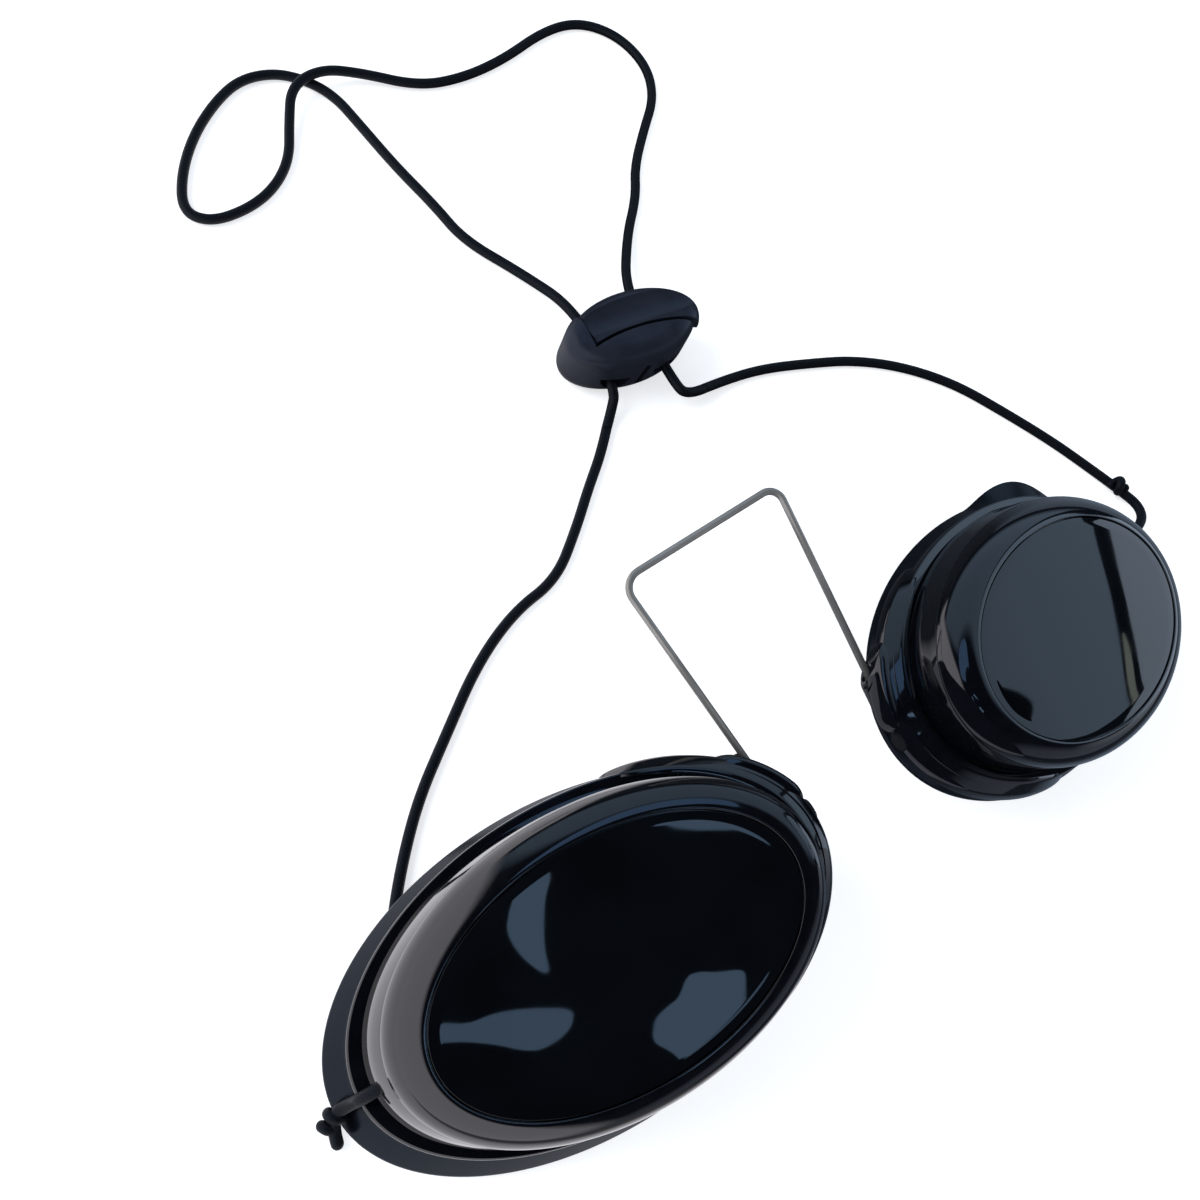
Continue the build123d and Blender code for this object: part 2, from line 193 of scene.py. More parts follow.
def arcBody(name, sizes, side):
    # a closed profile extruded along part of the oval and narrowed to its root at both ends
    rows = roundedRows(sizes["corners"])
    root = Vector(sizes["root"])
    start, end = (math.radians(angle) for angle in sizes["span"])
    bm = bmesh.new()
    marks = bm.verts.layers.int.new("row")
    ring = [bm.verts.new() for row in rows]
    for k, vert in enumerate(ring):
        vert[marks] = k
    cap = bm.faces.new(ring)
    for c in range(sizes["columns"] + 1):
        if c:
            # its edges are given too, so that no face is left behind inside
            made = bmesh.ops.extrude_face_region(bm, geom=[cap, *cap.edges, *cap.verts])
            ring = pick(made, bmesh.types.BMVert)
            cap = pick(made, bmesh.types.BMFace)[0]
        share = c / sizes["columns"]
        for vert in ring:
            row = rows[vert[marks]]
            near = min(share, 1 - share) * abs(end - start) * (row[0] + row[1]) / 2
            if near < sizes["endRound"]:
                grow = math.sqrt(max(0.0, 1 - (1 - near / sizes["endRound"]) ** 2))
                row = root + (row - root) * max(0.12, grow)
            vert.co = places[side] @ ovalPoint(row, start + (end - start) * share)
    bm.verts.layers.int.remove(marks)
    return finishMesh(name, bm)


def tubeMesh(name, line, radius, sideCount, roundEnds=False, capRings=5):
    # rings that turn with the line without twisting, with a UV that runs along it in metres
    bm = bmesh.new()
    uv = bm.loops.layers.uv.new("along")
    tangents = []
    for i in range(len(line)):
        tangents.append((line[min(i + 1, len(line) - 1)] - line[max(i - 1, 0)]).normalized())
    normal = tangents[0].orthogonal().normalized()
    lengths = [0.0]
    for a, b in zip(line, line[1:]):
        lengths.append(lengths[-1] + (b - a).length)
    stations = [(point, tangent, 1.0, length) for point, tangent, length in zip(line, tangents, lengths)]
    if roundEnds:
        turns = [0.5 * math.pi * k / (capRings + 1) for k in range(1, capRings + 1)]
        cap = [(math.sin(turn), math.cos(turn)) for turn in turns]
        head = [(line[0] - tangents[0] * radius * s, tangents[0], c, 0.0) for s, c in reversed(cap)]
        tail = [(line[-1] + tangents[-1] * radius * s, tangents[-1], c, lengths[-1]) for s, c in cap]
        stations = head + stations + tail
    rings = []
    marks = []
    for point, tangent, shrink, length in stations:
        normal = (normal - tangent * normal.dot(tangent)).normalized()
        other = tangent.cross(normal)
        size = radius * shrink
        ring = []
        for k in range(sideCount):
            angle = math.tau * k / sideCount
            ring.append(bm.verts.new(point + (normal * math.cos(angle) + other * math.sin(angle)) * size))
        rings.append(ring)
        marks.append(length)
    for r in range(len(rings) - 1):
        for k in range(sideCount):
            n = (k + 1) % sideCount
            face = bm.faces.new((rings[r][k], rings[r][n], rings[r + 1][n], rings[r + 1][k]))
            ends = ((k, r), (k + 1, r), (k + 1, r + 1), (k, r + 1))
            for loop, (column, row) in zip(face.loops, ends):
                loop[uv].uv = (column / sideCount, marks[row] * milli)
    bm.faces.new(list(reversed(rings[0])))
    bm.faces.new(rings[-1])
    return finishMesh(name, bm)


def smoothLine(points):
    # the line of an open NURBS spline with these control points, in the points' own unit
    curve = bpy.data.curves.new("route", "CURVE")
    curve.dimensions = "3D"
    curve.resolution_u = 14
    spline = curve.splines.new("NURBS")
    spline.points.add(len(points) - 1)
    for target, point in zip(spline.points, points):
        target.co = (*point, 1)
    spline.order_u = 3
    spline.use_endpoint_u = True
    holder = bpy.data.objects.new("route", curve)
    bpy.context.scene.collection.objects.link(holder)
    bpy.context.view_layer.update()
    mesh = bpy.data.meshes.new_from_object(holder)
    line = [vertex.co.copy() for vertex in mesh.vertices]
    bpy.data.objects.remove(holder)
    bpy.data.curves.remove(curve)
    bpy.data.meshes.remove(mesh)
    return line


def filletLine(points, radii, steps=12):
    # straight runs joined by arcs, for bent wire
    line = [points[0].copy()]
    for before, here, after, radius in zip(points, points[1:], points[2:], radii):
        inward, outward = (before - here).normalized(), (after - here).normalized()
        half = inward.angle(outward) / 2
        reach = radius / math.tan(half)
        centre = here + (inward + outward).normalized() * (radius / math.sin(half))
        start, end = here + inward * reach - centre, here + outward * reach - centre
        turn = start.angle(end)
        for k in range(steps + 1):
            t = k / steps
            arc = (start * math.sin((1 - t) * turn) + end * math.sin(t * turn)) / math.sin(turn)
            line.append(centre + arc)
    line.append(points[-1].copy())
    return line


# shader helpers
class Link:
    # a node's output, so that sums and products of it are written as plain maths
    def __init__(self, shade, socket):
        self.shade = shade
        self.socket = socket

    def math(self, kind, *pair):
        return self.shade.node("ShaderNodeMath", dict(enumerate(pair)), operation=kind)

    def __add__(self, other):
        return self.math("ADD", self, other)

    def __sub__(self, other):
        return self.math("SUBTRACT", self, other)

    def __rsub__(self, other):
        return self.math("SUBTRACT", other, self)

    def __mul__(self, other):
        return self.math("MULTIPLY", self, other)

    __radd__ = __add__
    __rmul__ = __mul__

    def sine(self):
        return self.math("SINE", self)


class Shade:
    def __init__(self, owner, keep=False):
        owner.use_nodes = True
        self.tree = owner.node_tree
        if not keep:
            self.tree.nodes.clear()

    def plug(self, slot, value):
        if isinstance(value, Link):
            self.tree.links.new(value.socket, slot)
        else:
            slot.default_value = value

    def node(self, kind, inputs=None, output=0, stops=(), **settings):
        made = self.tree.nodes.new(kind)
        for key, value in settings.items():
            setattr(made, key, value)
        for element, (spot, colour) in zip(made.color_ramp.elements if stops else (), stops):
            element.position = spot
            element.color = (*colour, 1)
        for key, value in (inputs or {}).items():
            self.plug(made.inputs[key], value)
        return Link(self, made.outputs[output]) if len(made.outputs) else None

    def place(self, which="Object"):
        return self.node("ShaderNodeTexCoord", output=which)

    def part(self, vector, index):
        return self.node("ShaderNodeSeparateXYZ", {"Vector": vector}, index)

    def noise(self, scale, detail, where=None):
        inputs = {"Vector": where or self.place(), "Scale": scale, "Detail": detail, "Roughness": 0.5}
        return self.node("ShaderNodeTexNoise", inputs, "Fac")

    def ramp(self, value, *stops):
        return self.node("ShaderNodeValToRGB", {0: value}, stops=stops)

    def mix(self, share, first, second):
        inputs = {"Factor": share, 6: first, 7: second}
        return self.node("ShaderNodeMix", inputs, 2, data_type="RGBA")

    def spread(self, value, low, high, lowTo, highTo):
        inputs = {"Value": value, "From Min": low, "From Max": high, "To Min": lowTo, "To Max": highTo}
        return self.node("ShaderNodeMapRange", inputs)

    def bump(self, height, distance, strength):
        inputs = {"Height": height, "Distance": distance, "Strength": strength}
        return self.node("ShaderNodeBump", inputs)

    def emission(self, colour, strength):
        return self.node("ShaderNodeEmission", {"Color": colour, "Strength": strength})

    def background(self, colour, strength):
        return self.node("ShaderNodeBackground", {"Color": colour, "Strength": strength})


def material(name, build, **fixed):
    made = bpy.data.materials.new(name)
    shade = Shade(made, keep=True)
    shader = made.node_tree.nodes["Principled BSDF"]
    for key, value in fixed.items():
        shader.inputs[key.replace("_", " ")].default_value = value
    for key, value in build(shade).items():
        shade.plug(shader.inputs[key], value)
    return made


def glossBuild(shade):
    tone = shade.noise(420, 4)
    haze = shade.noise(90, 3)
    grain = shade.noise(2600, 2)
    return {
        "Base Color": shade.ramp(tone, (0.3, (0.0018, 0.0022, 0.0035)), (0.7, (0.003, 0.0038, 0.0055))),
        "Roughness": shade.spread(haze, 0.3, 0.7, 0.05, 0.10),
        "Normal": shade.bump(grain, 0.00001, 0.2),
    }


def knurlBuild(shade):
    # two crossed families of fine ribs; the base colour is painted darker in the pits as shade and lighter
    # on the rib tops as highlight
    ahead, high = (shade.part(shade.place(), index) for index in (1, 2))
    pits = ((ahead + high) * 15000).sine() * ((ahead - high) * 15000).sine()
    return {
        "Base Color": shade.ramp(pits, (0.2, (0.002, 0.0025, 0.004)), (0.9, (0.02, 0.022, 0.028))),
        "Roughness": shade.spread(pits, -1, 1, 0.3, 0.5),
        "Normal": shade.bump(pits, 0.00008, 0.9),
    }


def lensBuild(shade):
    tone = shade.noise(60, 2)
    smear = shade.noise(150, 4)
    wave = shade.noise(34, 1.5)
    return {
        "Base Color": shade.ramp(tone, (0.3, (0.0015, 0.002, 0.003)), (0.7, (0.003, 0.004, 0.0055))),
        "Roughness": shade.spread(smear, 0.3, 0.75, 0.012, 0.035),
        "Normal": shade.bump(wave, 0.0003, 0.2),
    }


def skirtBuild(shade):
    tone = shade.noise(300, 4)
    grain = shade.noise(3800, 3)
    return {
        "Base Color": shade.ramp(tone, (0.3, (0.003, 0.004, 0.0065)), (0.7, (0.005, 0.0065, 0.010))),
        "Roughness": shade.spread(tone, 0.3, 0.7, 0.16, 0.24),
        "Normal": shade.bump(grain, 0.00001, 0.4),
    }


def lockBuild(shade):
    tone = shade.noise(260, 3)
    grain = shade.noise(3000, 3)
    return {
        "Base Color": shade.ramp(tone, (0.3, (0.013, 0.015, 0.023)), (0.7, (0.019, 0.022, 0.033))),
        "Roughness": shade.spread(tone, 0.3, 0.7, 0.26, 0.36),
        "Normal": shade.bump(grain, 0.00002, 0.5),
    }


def wireBuild(shade):
    along = shade.place("UV")
    stretched = shade.node("ShaderNodeMapping", {"Vector": along, "Scale": (14, 260, 1)})
    drawn = shade.noise(6, 4, stretched)
    patches = shade.noise(160, 3)
    return {
        "Base Color": shade.ramp(patches, (0.35, (0.36, 0.345, 0.32)), (0.7, (0.46, 0.44, 0.41))),
        "Roughness": shade.spread(drawn, 0.3, 0.7, 0.32, 0.42),
        "Normal": shade.bump(drawn, 0.000002, 0.2),
    }


def cordBuild(shade):
    # a close braided cover: two crossed families of slanted strands, hardly seen; the base colour is painted
    # darker in the gaps between strands as shade, and varies with the fibre
    turn, run = (shade.part(shade.place("UV"), index) for index in (0, 1))
    first = ((turn * 10 + run * 1300) * math.tau).sine()
    second = ((turn * 10 - run * 1300) * math.tau).sine()
    weave = first.math("MAXIMUM", first, second)
    fibre = shade.noise(5200, 3)
    gapShadeAndFibreTone = weave * 0.4 + fibre * 0.6
    return {
        "Base Color": shade.ramp(gapShadeAndFibreTone, (0.2, (0.003, 0.0035, 0.005)), (0.9, (0.008, 0.009, 0.011))),
        "Roughness": shade.spread(fibre, 0.3, 0.7, 0.42, 0.52),
        "Normal": shade.bump(weave + fibre * 0.4, 0.00002, 0.3),
    }


gloss = material("glossBlack", glossBuild, IOR=1.5, Coat_Weight=1.0, Coat_Roughness=0.04)
knurled = material("knurledBlack", knurlBuild, IOR=1.5)
dark = material("lensDark", lensBuild, IOR=1.52, Coat_Weight=0.3, Coat_Roughness=0.02)
satin = material(
    "skirtSatin", skirtBuild, IOR=1.48, Specular_IOR_Level=0.32, Specular_Tint=(0.6, 0.78, 1, 1),
)
steel = material("wireSteel", wireBuild, Metallic=0.6)
lockPlastic = material(
    "lockSatin", lockBuild, IOR=1.48, Specular_IOR_Level=0.4, Specular_Tint=(0.7, 0.8, 1, 1),
)
braid = material(
    "cordBraid", cordBuild, Specular_IOR_Level=0.22, Specular_Tint=(0.7, 0.85, 1, 1),
)
print("stage: materials")


def dress(piece, paint, body, slotName, *replaced):
    piece.data.materials.clear()
    piece.data.materials.append(paint)
    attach(piece, body)
    if replaced:
        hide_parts(*replaced)


# camera, solved from the ovals and the wire in the photograph
cameraSizes = {
    "spot": (-81.1, 0.86, 170.2), "right": (0.792, -0.559, 0.245), "up": (0.467, 0.813, 0.347),
    "lens": 39.1, "sensor": 36, "clip": (0.01, 20),
}
lensData = bpy.data.cameras.new("camera")
camera = bpy.data.objects.new("camera", lensData)
bpy.context.scene.collection.objects.link(camera)
lensData.sensor_width = cameraSizes["sensor"]
lensData.lens = cameraSizes["lens"]
lensData.clip_start, lensData.clip_end = cameraSizes["clip"]
right = Vector(cameraSizes["right"]).normalized()
up = Vector(cameraSizes["up"])
up = (up - right * up.dot(right)).normalized()
turn = Matrix((right, up, right.cross(up))).transposed().to_4x4()
camera.matrix_world = Matrix.Translation(Vector(cameraSizes["spot"]) * milli) @ turn
bpy.context.scene.camera = camera

# cords: the routes of the part's source in metres, with a few points near the lock moved
leftRoute = [
    (-0.06645, -0.00671, 0.00920),
    (-0.06392, -0.00684, 0.00981),
    (-0.06171, -0.00434, 0.00585),
    (-0.06082, 0.00019, 0.00239),
    (-0.05903, 0.00483, 0.00121),
    (-0.05590, 0.00916, 0.00083),
    (-0.05080, 0.01486, 0.00082),
    (-0.04480, 0.02046, 0.00082),
    (-0.03740, 0.02556, 0.00082),
    (-0.02820, 0.03186, 0.00082),
    (-0.01940, 0.03566, 0.00082),
    (-0.01130, 0.03666, 0.00082),
    (-0.00420, 0.04180, 0.00082),
    (0.00110, 0.04620, 0.00082),
    (0.00640, 0.05020, 0.00082),
    (0.00940, 0.05310, 0.00090),
]
rightRoute = [
    (0.02660, 0.05110, 0.00210),
    (0.03120, 0.05110, 0.00095),
    (0.03850, 0.04986, 0.00082),
    (0.04650, 0.04696, 0.00082),
    (0.05410, 0.04376, 0.00082),
    (0.06130, 0.03876, 0.00082),
    (0.06770, 0.03186, 0.00082),
    (0.07230, 0.02366, 0.00082),
    (0.07660, 0.01526, 0.00082),
    (0.07960, 0.00786, 0.00082),
    (0.08170, 0.00216, 0.00090),
    (0.08260, -0.00194, 0.00130),
    (0.08015, -0.00445, 0.00194),
    (0.07725, -0.00458, 0.00195),
]
loopRoute = [
    (0.00940, 0.05310, 0.00090),
    (0.01140, 0.05490, 0.00120),
    (0.01320, 0.05715, 0.00365),
    (0.01528, 0.07115, 0.00390),
    (0.01290, 0.08180, 0.00084),
    (0.00800, 0.09086, 0.00082),
    (0.00730, 0.09826, 0.00082),
    (0.00570, 0.10686, 0.00082),
    (0.00470, 0.11626, 0.00082),
    (0.00400, 0.12226, 0.00082),
    (0.00140, 0.12686, 0.00082),
    (-0.00260, 0.12996, 0.00082),
    (-0.00800, 0.13066, 0.00082),
    (-0.01330, 0.12846, 0.00082),
    (-0.01920, 0.12436, 0.00082),
    (-0.02430, 0.11886, 0.00082),
    (-0.02750, 0.11286, 0.00082),
    (-0.02480, 0.10956, 0.00082),
    (-0.01900, 0.10926, 0.00082),
    (-0.01350, 0.11086, 0.00082),
    (-0.00860, 0.11466, 0.00086),
    (-0.00550, 0.12006, 0.00160),
    (-0.00220, 0.12516, 0.00275),
    (0.00360, 0.12636, 0.00275),
    (0.00960, 0.12426, 0.00160),
    (0.01730, 0.11896, 0.00084),
    (0.02460, 0.11746, 0.00082),
    (0.03340, 0.11796, 0.00082),
    (0.04360, 0.12046, 0.00082),
    (0.05060, 0.11976, 0.00082),
    (0.05540, 0.11486, 0.00082),
    (0.05660, 0.10766, 0.00082),
    (0.05380, 0.10126, 0.00082),
    (0.04780, 0.09616, 0.00082),
    (0.04200, 0.09076, 0.00082),
    (0.03860, 0.08566, 0.00084),
    (0.03240, 0.07986, 0.00100),
    (0.02409, 0.06997, 0.00390),
    (0.02170, 0.05297, 0.00390),
    (0.02340, 0.05110, 0.00290),
    (0.02660, 0.05110, 0.00210),
]
cordSizes = {"radius": 0.78, "sides": 24, "diameter": 0.0016}


def cordPiece(name, route, exitPoint):
    line = smoothLine([Vector(point) / milli for point in route])
    piece = tubeMesh(name, line, cordSizes["radius"], cordSizes["sides"])
    length = sum((b - a).length for a, b in zip(line, line[1:])) * milli
    path = [point * milli for point in line]
    if exitPoint != route[0]:
        path.reverse()
    piece.data.materials.append(braid)
    print("cord", name, "length in mm", round(length / milli, 1))
    return piece


cordLoop = cordPiece("cordLoop", loopRoute, loopRoute[0])
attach(cordLoop, "bridge")
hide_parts("cord_loop")
cordLeft = cordPiece("cordLeft", leftRoute, leftRoute[-1])
# each side cord bends between these two points as its eyepiece swings
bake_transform(cordLeft, "left_eyepiece", "bridge", start=(-0.058, 0.006, 0.001), end=(0.0, 0.044, 0.001))
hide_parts("cord_left")
cordRight = cordPiece("cordRight", rightRoute, rightRoute[0])
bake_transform(cordRight, "right_eyepiece", "bridge", start=(0.078, 0.008, 0.001), end=(0.034, 0.051, 0.001))
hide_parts("cord_right")
print("stage: cords")

# an oval row is half length, half width, along, up, height and corner rounding
ovalColumns = 220
rimSizes = {
    "crest": (23.9, 14.3, 0, 0, 0.14), "foot": (28.0, 17.5, -0.9, 0.99, -3.66), "steps": 26, "slope": 10,
}


def rimRows():
    # the rounded rim, from a slight slope at the lens down to the seam
    rows = []
    crest, foot, steps = rimSizes["crest"], rimSizes["foot"], rimSizes["steps"]
    begin = math.radians(rimSizes["slope"])
    for k in range(1, steps):
        turn = begin + (0.5 * math.pi - begin) * k / steps
        out = (math.sin(turn) - math.sin(begin)) / (1 - math.sin(begin))
        drop = (math.cos(begin) - math.cos(turn)) / math.cos(begin)
        shares = (out, out, drop, drop, drop)
        rows.append((*(a + (b - a) * share for a, b, share in zip(crest, foot, shares)), 0))
    return rows


bezelCorners = [
    (23.58, 13.98, 0, 0, -0.8, 0.1),
    (23.58, 13.98, 0, 0, 0.14, 0.12),
    (*rimSizes["crest"], 0),
    *rimRows(),
    (*rimSizes["foot"], 0.05),
    (25.9, 16.3, 0, 0, -3.66, 0.1),
    (25.9, 16.3, 0, 0, -2.4, 0.1),
    (24.95, 15.35, 0, 0, -2.4, 0.1),
    (24.95, 15.35, 0, 0, -0.8, 0.1),
]
# shell wall, undercut, ridge, spigot and hollow
shellCorners = [
    (28.0, 17.5, -0.9, 0.99, -3.74, 0.05),
    (28.57, 17.65, -1.89, 1.25, -6.04, 2.2),
    (29.0, 17.9, -2.64, 1.5, -8.8, 0.35),
    (28.2, 17.2, -2.2, 1.6, -8.8, 0.15),
    (28.2, 17.2, -2.2, 1.6, -9.4, 0.15),
    (31.6, 18.9, -2.2, 1.6, -9.4, 0.55),
    (31.6, 18.9, -2.2, 1.6, -11.0, 0.55),
    (27.8, 17.0, -2.2, 1.6, -11.0, 0.15),
    (27.8, 17.0, -2.2, 1.6, -13.0, 0.3),
    (26.4, 15.4, -2.2, 1.6, -13.0, 0.3),
    (26.4, 15.4, -2.2, 1.6, -8.8, 0.3),
    (26.2, 15.7, -0.9, 1.0, -4.6, 0.3),
    (22.4, 12.8, 0, 0, -4.6, 0.3),
    (22.4, 12.8, 0, 0, -2.4, 0.2),
    (25.6, 16.0, 0, 0, -2.4, 0.2),
    (25.6, 16.0, 0, 0, -3.8, 0.1),
]
skirtSizes = {
    "steps": 8, "middle": (-4.5, 1.3), "waveFrom": -11.8, "waveOver": 3.0,
    # the right skirt's edge stands up a little at this angle
    "wave": {"angle": 137, "width": 26, "reach": 2.7, "lift": 1.3},
    "corners": [
        (27.95, 17.15, -2.2, 1.6, -11.4, 0.2),
        (30.9, 18.42, -2.4, 1.6, -11.4, 0.5),
        (31.3, 18.7, -2.88, 1.53, -12.5, 1.5),
        (33.5, 20.2, -4.5, 1.3, -15.0, 1.1),
        (33.0, 19.9, -4.5, 1.3, -16.0, 0.5),
        (31.0, 17.9, -4.5, 1.3, -16.0, 0.4),
        (31.5, 18.2, -4.5, 1.3, -15.0, 1.0),
        (27.95, 17.15, -2.2, 1.6, -13.1, 0.5),
    ],
}
bandSizes = {
    "columns": 240, "span": (-70, 68), "endRound": 9.0, "root": (31.75, 19.05, -2.2, 1.6, -11.6),
    "corners": [
        (29.6, 18.4, -2.64, 1.5, -8.5, 0.25),
        (30.6, 18.9, -2.4, 1.55, -8.5, 0.5),
        (32.9, 20.2, -2.2, 1.6, -10.3, 0.9),
        (32.9, 20.2, -2.2, 1.6, -12.0, 0.6),
        (31.75, 19.05, -2.2, 1.6, -12.0, 0.15),
        (31.75, 19.05, -2.2, 1.6, -9.25, 0.1),
        (29.6, 18.4, -2.64, 1.5, -9.25, 0.1),
    ],
}
lugSizes = {
    "columns": 90, "span": (5, 40), "endRound": 4.0, "root": (31.75, 19.05, -2.2, 1.6, -11.4),
    "corners": [
        (31.75, 19.05, -2.2, 1.6, -9.6, 0.1),
        (33.6, 20.9, -2.2, 1.6, -9.9, 1.2),
        (33.6, 20.9, -2.2, 1.6, -13.1, 0.9),
        (31.75, 19.05, -2.2, 1.6, -13.1, 0.1),
    ],
}
lensSizes = {
    "columns": 160, "rings": 14, "dome": (23.1, 13.5, 0.12),
    "corners": [
        (24.8, 15.2, 0, 0, -2.4, 0.1),
        (24.8, 15.2, 0, 0, -0.8, 0.1),
        (23.4, 13.8, 0, 0, -0.8, 0.05),
        (23.4, 13.8, 0, 0, 0.0, 0.12),
        (0.2, 0.12, 0, 0, 0.0, 0.0),
    ],
}


def lensPiece(side):
    # its front face swells a little toward the middle
    rows = roundedRows(lensSizes["corners"])[:-1]
    long, wide, rise = lensSizes["dome"]
    for k in range(1, lensSizes["rings"]):
        share = 1 - k / lensSizes["rings"]
        rows.append(Vector((long * share, wide * share, 0, 0, rise * (1 - share ** 2))))
    bm = bmesh.new()
    carryCircle(bm, rows, lensSizes["columns"], lambda row, angle: places[side] @ ovalPoint(row, angle))
    bmesh.ops.holes_fill(bm, edges=bm.edges, sides=0)
    return finishMesh(side + "Lens", bm)


def sleevePiece(side):
    # the round sleeve that the wire turns in, spun on the axis of its leg
    place = places[side] @ sleeveFrame(1)
    shellSide = place.inverted() @ (places[side] @ Vector((0, 0, sleeveSizes["shellDepth"])))
    facing = math.atan2(shellSide.y, shellSide.x)
    bm = bmesh.new()
    verts = [bm.verts.new((radius, 0, height)) for radius, height in sleeveSizes["profile"]]
    edges = [bm.edges.new(pair) for pair in zip(verts, verts[1:])]
    bmesh.ops.spin(
        bm, geom=verts + edges, cent=(0, 0, 0), axis=(0, 0, 1), angle=math.tau,
        steps=sleeveSizes["sides"], use_merge=True,
    )
    for vert in bm.verts:
        # the mouth is cut back on the outer side, where the wire lies open
        away = 0.5 - 0.5 * math.cos(math.atan2(vert.co.y, vert.co.x) - facing)
        vert.co.z -= sleeveSizes["cutBack"] * away * max(0.0, vert.co.z - sleeveSizes["floor"])
    bmesh.ops.transform(bm, matrix=place, verts=bm.verts)
    return finishMesh(side + "Sleeve", bm)


anchorSizes = {
    "radius": 0.8, "sides": 24,
    "route": [(-28.6, 1.6, -7.6), (-32.8, 1.6, -7.6), (-34.6, 1.6, -11.2), (-38.0, 1.6, -13.0)],
    "end": {"left": (-38.8, -1.6, -13.6), "right": (-41.2, 1.6, -12.23)},
}


def anchorPiece(side):
    # the end of the cord, out of its eyelet and over the ridge
    points = anchorSizes["route"] + [anchorSizes["end"][side]]
    line = smoothLine([places[side] @ Vector(point) for point in points])
    sizes = anchorSizes["radius"], anchorSizes["sides"]
    return tubeMesh(side + "Anchor", line, *sizes, roundEnds=side == "left")


def onTable(side):
    # keeps the skirt above the table once it is placed, and lifts the right one's wave
    place, back = places[side], places[side].inverted()
    wave = skirtSizes["wave"]
    middle = Vector((*skirtSizes["middle"], 0))

    def change(point):
        if side == "right":
            out = Vector((point.x, point.y, 0)) - middle
            angle = math.degrees(math.atan2(out.y, out.x))
            near = max(0.0, 1 - ((angle - wave["angle"]) / wave["width"]) ** 2) ** 2
            near *= min(1.0, max(0.0, (skirtSizes["waveFrom"] - point.z) / skirtSizes["waveOver"]))
            point = point + out.normalized() * wave["reach"] * near + Vector((0, 0, wave["lift"] * near))
        spot = place @ point
        spot.z = max(spot.z, 0.0)
        return back @ spot

    return change


knotSizes = {
    "reach": 0.95, "pitch": 2.2, "radius": 0.72, "turns": 1.35, "count": 14, "sides": 18,
    "left": {"spot": (-38.1, 1.0, -13.1), "along": (0.9, 0.2, 0.5)},
    "right": {"spot": (81.3, 2.9, 1.7), "along": (0.33, -0.94, 0.05)},
}


def knotPiece(side):
    # a small knot: the cord wound round itself; the left spot is in its eyepiece's own frame
    spot = Vector(knotSizes[side]["spot"])
    if side == "left":
        spot = places[side] @ spot
    direction = Vector(knotSizes[side]["along"]).normalized()
    first = direction.orthogonal().normalized()
    second = direction.cross(first)
    points = []
    for k in range(knotSizes["count"] + 1):
        share = k / knotSizes["count"]
        angle = math.tau * knotSizes["turns"] * share
        reach = knotSizes["reach"] * (0.55 + 0.45 * math.sin(math.pi * share))
        height = knotSizes["pitch"] * (share - 0.5)
        ringSpot = (first * math.cos(angle) + second * math.sin(angle)) * reach
        points.append(spot + direction * height + ringSpot)
    line = smoothLine(points)
    return tubeMesh(side + "Knot", line, knotSizes["radius"], knotSizes["sides"], roundEnds=True)


markSizes = {"spot": (30.55, 2.4, -11.5), "half": (1.5, 1.1), "rise": 0.32, "rings": 8, "columns": 40}


def markPiece(side):
    # a small oval mark with a roughened face, on the outside of the nose band
    across, high = markSizes["half"]

    def spotAt(share, angle):
        size = max(0.02, 1 - share)
        rise = markSizes["rise"] * min(1.0, math.sqrt(share * 4))
        step = Vector((rise, across * size * math.cos(angle), high * size * math.sin(angle)))
        return places[side] @ (Vector(markSizes["spot"]) + step)

    bm = bmesh.new()
    shares = [k / markSizes["rings"] for k in range(markSizes["rings"] + 1)]
    carryCircle(bm, shares, markSizes["columns"], spotAt)
    bmesh.ops.holes_fill(bm, edges=bm.edges, sides=0)
    return finishMesh(side + "Mark", bm)


for side in sides:
    body = side + "_eyepiece"
    dress(ovalBody(side + "Bezel", bezelCorners, side), gloss, body, "black_gloss", side + "_bezel")
    dress(ovalBody(side + "Shell", shellCorners, side), gloss, body, "black_gloss", side + "_shell")
    dress(lensPiece(side), dark, body, "dark_lens", side + "_lens")
    skirt = ovalBody(side + "Skirt", skirtSizes["corners"], side, skirtSizes["steps"], onTable(side))
    dress(skirt, satin, body, "soft_black", side + "_skirt")
    dress(arcBody(side + "NoseBand", bandSizes, side), gloss, body, "black_gloss", side + "_nose_band")
    dress(arcBody(side + "Lug", lugSizes, side), gloss, body, "black_gloss")
    dress(sleevePiece(side), gloss, body, "black_gloss")
    dress(markPiece(side), knurled, body, "black_gloss")
    dress(anchorPiece(side), braid, body, "cord_black", side + "_cord_anchor")
for side in sides:
    dress(knotPiece(side), braid, side + "_eyepiece", "cord_black")
print("stage: eyepieces")

# bridge wire
wireCorners = [legToe("left"), bridgeCorner("left"), bridgeCorner("right"), legToe("right")]
wireLine = filletLine(wireCorners, wireSizes["bends"])
wire = tubeMesh("bridgeWire", wireLine, wireSizes["radius"], wireSizes["sides"])
dress(wire, steel, "bridge", "steel_wire", "bridge_wire")
print("stage: wire")

# the cord lock and its button keep their CAD shape
for name in ("lock_body", "lock_button"):
    nodes[name].data.materials.clear()
    nodes[name].data.materials.append(lockPlastic)
print("stage: lock")

